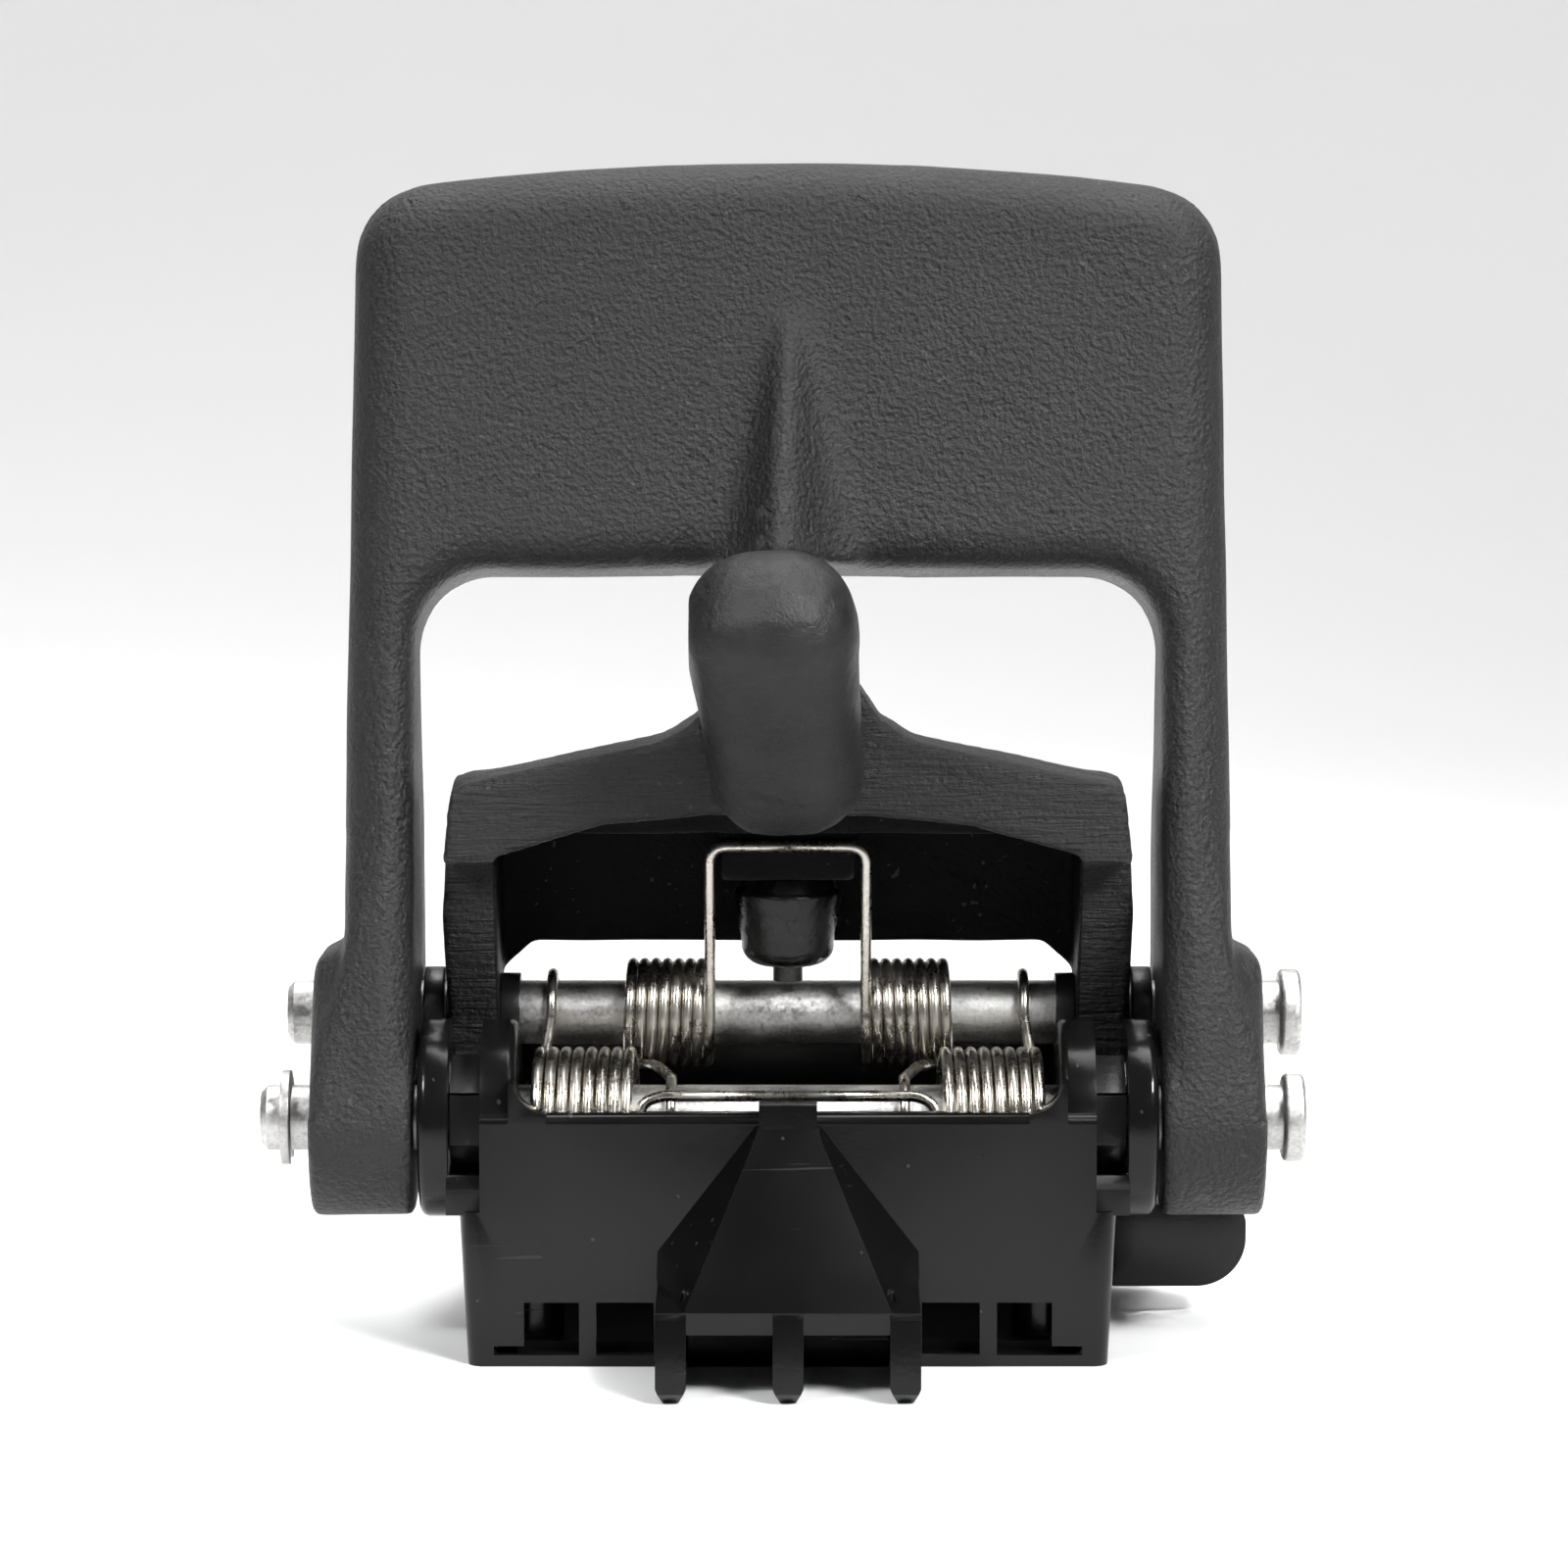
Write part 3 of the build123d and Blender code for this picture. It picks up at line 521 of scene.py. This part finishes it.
def yoke_skin(place):
    """Waviness of the yoke's skin: soft lumps all over, flow lines along the beam."""
    point = place / MM
    lines = noise.noise(Vector((point.x * 0.12, point.y * 0.5, (point.z + 0.16 * abs(point.x)) * 1.5)))
    on_beam = ease((point.z - BEAM_LOW_MM) / 2.0)
    return (lines * 0.09 * on_beam + noise.noise(point / 6.0) * 0.08) * MM


def under_hood(place):
    """Whether a place, in millimetres, lies in the hollow of the yoke, where shade is painted."""
    within = abs(place.x) < HOOD_HALF_MM and HOOD_FRONT_MM < place.y < HOOD_BACK_MM
    on_lip = place.z > LIP_LOW_MM and place.y < LIP_BACK_MM
    return within and place.z < HOOD_TOP_MM and not on_lip


def trigger_yoke():
    """The cast yoke, with shallow flow lines in its skin and painted shade in the hollow under the hood: a
    copy of its coat with almost no specular.
    """
    mesh = cast_mesh(node_mesh("trigger_yoke"), 0.34, 5)
    swollen(mesh, yoke_skin)
    kept_inside(mesh, "trigger_yoke")
    shade(mesh)
    new_piece("yoke_casting", mesh, CAST_YOKE, "yoke", ["trigger_yoke"])
    # painted shade: faces in the hollow under the hood take the near mirror-free coat so that they stay dark
    mesh.materials.append(CAST_PAINTED_SHADE)
    for face in mesh.polygons:
        if under_hood(face.center / MM):
            face.material_index = 1


# ---- thumb grip ---------------------------------------------------------------------------------
def cap_width(past, cap, squareness):
    """Width of a rounded end at a distance past the grip's body, as a share of the body's."""
    return max(0.0, 1 - (past / cap) ** squareness) ** (1 / squareness)


def grip_dents(place):
    """Swell and dents of the grip's skin."""
    broad = noise.noise(place / (3.4 * MM)) * 0.16
    return (broad + noise.noise(place / (1.3 * MM)) * 0.05) * MM


def thumb_grip():
    """Thumb-shaped grip: leaning rings, blunt tip, flatter sides, a faint swell and dents."""
    foot = mm(-0.15, -3.6, 45.9)
    tip = mm(-1.25, -10.0, 56.7)
    axis = tip - foot
    length = axis.length
    axis.normalize()
    across = Vector((1, 0, 0))
    across = (across - axis * across.dot(axis)).normalized()
    depth = axis.cross(across)
    rows = 72
    sides = 96
    cap_low = 5.3 * MM
    cap_high = 6.0 * MM
    build = bmesh.new()
    rings = []
    for i in range(rows + 1):
        s = -cap_low + (length + cap_low + cap_high) * (0.5 - 0.5 * math.cos(math.pi * i / rows))
        body = GRIP_R + GRIP_SWELL * ease(s / length)
        if s < 0:
            body *= cap_width(-s, cap_low, 2.4)
        elif s > length:
            body *= cap_width(s - length, cap_high, 2.25)
        ring = []
        for j in range(sides):
            turn = 2 * math.pi * j / sides
            c = math.cos(turn)
            d = math.sin(turn)
            square = (abs(c) ** GRIP_SQUARENESS + abs(d) ** GRIP_SQUARENESS) ** (-1 / GRIP_SQUARENESS)
            point = foot + axis * s + (across * c * square + depth * d * square * GRIP_FLATNESS) * body
            ring.append(build.verts.new(point))
        rings.append(ring)
    skinned(build, rings)
    bmesh.ops.remove_doubles(build, verts=build.verts, dist=0.01 * MM)
    bmesh.ops.recalc_face_normals(build, faces=build.faces)
    mesh = written(build, "thumb_skin")
    mesh.update()
    swollen(mesh, grip_dents)
    kept_inside(mesh, "thumb_grip")
    shade(mesh)
    new_piece("thumb_skin", mesh, GRIP, "yoke", ["thumb_grip"])


# ---- turned and moulded pieces --------------------------------------------------------------------
def lathe(name, profile, centre, axis, material, body, nodes, sides=64):
    """A turned piece from (radius, along) points about an axis through centre."""
    build = bmesh.new()
    turn_to = Vector((0, 0, 1)).rotation_difference(axis).to_matrix()
    rings = []
    for radius, along in profile:
        ring = []
        for j in range(sides):
            angle = 2 * math.pi * j / sides
            point = Vector((radius * math.cos(angle), radius * math.sin(angle), along))
            ring.append(build.verts.new(centre + turn_to @ point))
        rings.append(ring)
    skinned(build, rings)
    build.faces.new(rings[0])
    build.faces.new(rings[-1])
    bmesh.ops.remove_doubles(build, verts=build.verts, dist=0.004 * MM)
    bmesh.ops.recalc_face_normals(build, faces=build.faces)
    mesh = written(build, name)
    shade(mesh)
    return new_piece(name, mesh, material, body, nodes)


def arc(centre, radius, start, end, steps=6):
    """Points on an arc of a lathe profile, angles in degrees from the radius direction."""
    points = []
    for i in range(steps + 1):
        angle = math.radians(start + (end - start) * i / steps)
        points.append((centre[0] + radius * math.cos(angle), centre[1] + radius * math.sin(angle)))
    return points


def rubber_bumper():
    """Tapered bumper: rounded nose, slight waist, thin collar under the yoke."""
    low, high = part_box("rubber_bumper")
    centre = Vector(((low.x + high.x) / 2, (low.y + high.y) / 2, low.z))
    tall = high.z - low.z
    wide = (high.x - low.x) / 2
    nose = 1.5 * MM
    profile = [(0.0, 0.0), (wide * 0.50, 0.0)]
    profile += arc((wide * 0.86 - nose, nose), nose, -70, 8, 8)
    profile += [(wide * 0.93, tall * 0.45), (wide * 0.97, tall * 0.70)]
    profile += arc((wide * 0.93, tall * 0.80), wide * 0.07, -20, 70, 4)
    profile += [(wide * 0.88, tall * 0.86), (wide * 0.88, tall), (0.0, tall)]
    upright = Vector((0, 0, 1))
    lathe("bumper_rubber", profile, centre, upright, RUBBER, "yoke", ["rubber_bumper"])


def crisp(node, name, material, body, width_mm):
    """A CAD node with its edges broken by a small radius, as moulded or pressed."""
    mesh = node_mesh(node)
    build = bmesh.new()
    build.from_mesh(mesh)
    bmesh.ops.dissolve_limit(
        build, angle_limit=math.radians(1.0), verts=build.verts, edges=build.edges)
    build.to_mesh(mesh)
    build.free()
    mesh = baked(mesh, ("BEVEL", {
        "width": width_mm * MM, "segments": 3, "limit_method": "ANGLE",
        "angle_limit": math.radians(28), "harden_normals": False, "use_clamp_overlap": True,
    }), ("TRIANGULATE", {}))
    kept_inside(mesh, node)
    shade(mesh)
    mesh.set_sharp_from_angle(angle=math.radians(32))
    new_piece(name, mesh, material, body, [node])


# ---- springs --------------------------------------------------------------------------------------
def rounded(points, radius):
    """A smooth line through a route, each corner turned on a curve no larger than radius."""
    result = [points[0]]
    for before, corner, after in zip(points, points[1:], points[2:]):
        back = before - corner
        ahead = after - corner
        reach = min(radius, back.length * 0.48, ahead.length * 0.48)
        start = corner + back.normalized() * reach
        end = corner + ahead.normalized() * reach
        for i in range(7):
            t = i / 6
            result.append(start * (1 - t) ** 2 + corner * 2 * t * (1 - t) + end * t * t)
    result.append(points[-1])
    return result


def tube(name, points, radius):
    """Round wire along a line, its ends closed."""
    build = bmesh.new()
    rings = []
    normal = None
    last = len(points) - 1
    for i, point in enumerate(points):
        tangent = (points[min(i + 1, last)] - points[max(i - 1, 0)]).normalized()
        if normal is None:
            normal = tangent.orthogonal().normalized()
        normal = (normal - tangent * normal.dot(tangent)).normalized()
        side = tangent.cross(normal)
        ring = []
        for j in range(WIRE_SIDES):
            angle = 2 * math.pi * j / WIRE_SIDES
            offset = (normal * math.cos(angle) + side * math.sin(angle)) * radius
            ring.append(build.verts.new(point + offset))
        rings.append(ring)
    skinned(build, rings)
    build.faces.new(list(reversed(rings[0])))
    build.faces.new(rings[-1])
    bmesh.ops.recalc_face_normals(build, faces=build.faces)
    mesh = written(build, name)
    shade(mesh)
    return mesh


def about(centre, radius, degrees, across):
    """Point at an angle round a pin: 0 at the back, 90 on top; across is its X."""
    angle = math.radians(degrees)
    return Vector((across, centre.y + radius * math.cos(angle), centre.z + radius * math.sin(angle)))


def winding(centre, radius, start_x, end_x, start, end):
    """Helix round a pin from one angle to another."""
    steps = int(abs(end - start) / 9)
    return [
        about(centre, radius, start + (end - start) * i / steps, start_x + (end_x - start_x) * i / steps)
        for i in range(steps + 1)
    ]


def half_spring(name, points, side, node):
    """One half of a double spring, mirrored to its side along X."""
    placed = [Vector((point.x * side, point.y, point.z)) for point in points]
    mesh = tube(name, placed, WIRE)
    piece = new_piece(name, mesh, SPRING, None, [node])
    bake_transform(piece)


def lower_spring():
    """Bar behind the front lip, nine turns on the lower pin, legs hooked over the upper pin."""
    mean = 5.02 * MM
    inner = 11.35 * MM
    outer = 19.75 * MM
    hook_x = 18.4 * MM
    hook_r = 3.05 * MM
    bar = about(LOWER, mean * 1.04, 150, 0)
    coil = winding(LOWER, mean, inner, outer, 168, 346 + 360 * 8)
    lead = [bar, bar + Vector((inner - 1.5 * MM, 0, 0)), about(LOWER, mean * 1.02, 156, inner - 0.3 * MM)]
    start = rounded(lead + [coil[0]], 0.9 * MM)
    leg_front = about(UPPER, hook_r, 176, hook_x)
    hook = winding(UPPER, hook_r, hook_x, hook_x, 165, 20)
    leg = rounded([coil[-1], leg_front, hook[0]], 1.2 * MM)
    route = start[:-1] + coil + leg[1:-1] + hook
    for side, word in ((-1, "left"), (1, "right")):
        half_spring(f"lower_spring_{word}", route, side, "lower_spring")


def upper_spring():
    """Bail in front of the yoke's boss, turns on the upper pin, ends hooked over the lower pin."""
    mean = 3.85 * MM
    inner = 6.05 * MM
    outer = 12.57 * MM
    hook_x = 8.95 * MM
    bail_top = Vector((inner, UPPER.y - 6.7 * MM, UPPER.z + 14.3 * MM))
    middle = Vector((0, bail_top.y, bail_top.z))
    coil = winding(UPPER, mean, inner, outer, 164, 262 + 360 * 7)
    bail = rounded([middle, bail_top, coil[0]], 1.5 * MM)
    under = about(LOWER, 6.15 * MM, 28, 10.1 * MM)
    hook = winding(LOWER, 3.0 * MM, hook_x, hook_x, 72, 172)
    leg = rounded([coil[-1], under, hook[0]], 0.9 * MM)
    route = bail[:-1] + coil + leg[1:-1] + hook
    for side, word in ((-1, "left"), (1, "right")):
        half_spring(f"upper_spring_{word}", route, side, "upper_spring")


# ---- everything else keeps its CAD shape ----------------------------------------------------------
def dress(node, material):
    """Gives a CAD node its material."""
    target = frame["nodes"][node]
    if target.material_slots:
        for entry in target.material_slots:
            entry.material = material
    else:
        target.data.materials.append(material)


# ---- stage ----------------------------------------------------------------------------------------
def stage():
    """Pale floor that curves up into a backdrop."""
    front = -0.9
    bend = 0.35                                 # where the floor starts to curve, and the curve's radius
    top = 1.6
    half = 1.6
    steps = 12
    build = bmesh.new()
    depth = [(front, 0.0), (bend, 0.0)]
    for i in range(1, steps + 1):
        angle = math.radians(90 * i / steps)
        depth.append((bend + bend * math.sin(angle), bend - bend * math.cos(angle)))
    depth.append((2 * bend, top))
    rows = [[build.verts.new((x, y, z)) for x in (-half, half)] for y, z in depth]
    for a, b in zip(rows, rows[1:]):
        build.faces.new((a[0], a[1], b[1], b[0]))
    mesh = written(build, "backdrop")
    shade(mesh)
    n = Nodes("backdrop_white")
    tone = n.ramp(n.noise(260.0, 1.0), [(0.3, 0.86), (0.7, 0.90)])
    rough = n.between(n.noise(180.0, 1.0), 0.75, 0.85)
    mesh.materials.append(n.finish(tone, rough, specular=0.2))
    backdrop = bpy.data.objects.new("backdrop", mesh)
    bpy.context.scene.collection.objects.link(backdrop)


def soft_light(name, place, size, power, target=(0, 0, 0.04), spread=180):
    """A rectangular soft box that faces a point."""
    data = bpy.data.lights.new(name, "AREA")
    data.shape = "RECTANGLE"
    data.size, data.size_y = size
    data.energy = power
    data.spread = math.radians(spread)
    light = bpy.data.objects.new(name, data)
    light.location = place
    direction = Vector(target) - Vector(place)
    light.rotation_euler = direction.to_track_quat("-Z", "Y").to_euler()
    bpy.context.scene.collection.objects.link(light)


def lights():
    """Two narrow beams from the front corners, a box above, one behind, and one on the backdrop."""
    world = bpy.data.worlds.new("studio")
    world.use_nodes = True
    world.node_tree.nodes["Background"].inputs["Color"].default_value = (1, 1, 1, 1)
    world.node_tree.nodes["Background"].inputs["Strength"].default_value = 0.08
    bpy.context.scene.world = world
    soft_light("front_right", (0.34, -0.34, 0.44), (0.30, 0.12), 0.26, spread=24)
    soft_light("front_left", (-0.34, -0.32, 0.46), (0.20, 0.12), 0.09, spread=24)
    soft_light("top_box", (0.06, 0.05, 0.60), (0.80, 0.22), 0.5, spread=60)
    soft_light("back_box", (0.10, 0.38, 0.62), (1.2, 0.45), 0.9, (0, 0.05, 0.03))
    soft_light("floor_glow", (0.0, 0.55, 0.9), (1.4, 0.5), 8.0, (0, 0.62, 0.1))
    bpy.context.scene.view_settings.view_transform = "Standard"


def camera():
    """Camera straight in front and a little above."""
    distance = 480 * MM
    elevation = math.radians(9.0)
    aim = mm(-0.3, 4.0, 43.05)
    data = bpy.data.cameras.new("view")
    data.sensor_width = 36.0
    data.lens = 143.1
    data.clip_start = 0.01
    eye = bpy.data.objects.new("view", data)
    eye.location = aim + Vector((0, -math.cos(elevation), math.sin(elevation))) * distance
    eye.rotation_euler = (math.pi / 2 - elevation, 0.0, 0.0)
    bpy.context.scene.collection.objects.link(eye)
    bpy.context.scene.camera = eye


# ---- build it -------------------------------------------------------------------------------------
camera()
lights()
stage()
striker_frame()
trigger_yoke()
thumb_grip()
rubber_bumper()
crisp("base_housing", "housing_shell", PLASTIC, "base", 0.25)
crisp("trip_lever", "side_lever", PLASTIC, "side_lever", 0.35)
for part_side in ("left", "right"):
    # painted light on the hubs, spacers and bushes, carried by their lighter plastic
    crisp(f"cam_hub_{part_side}", f"faceted_hub_{part_side}", HUB_PLASTIC_PAINTED_LIGHT, "frame", 0.18)
    crisp(f"washer_{part_side}", f"spacer_{part_side}", HUB_PLASTIC_PAINTED_LIGHT, "frame", 0.15)
    crisp(f"yoke_bush_{part_side}", f"flanged_bush_{part_side}", HUB_PLASTIC_PAINTED_LIGHT, "yoke", 0.15)
crisp("lower_pin_clip", "retaining_clip", STEEL, "frame", 0.08)
lower_spring()
upper_spring()
# painted shade on the base plate, carried by its darker, mirror-free plastic
dress("base_plate", PLATE_PLASTIC_PAINTED_SHADE)
dress("base_plate_screws", STEEL)
dress("bumper_stud", DARK_STEEL)
dress("trip_lever_pin", ZINC)
dress("lower_pin", ZINC)
dress("upper_pin", ZINC)

bpy.context.view_layer.update()
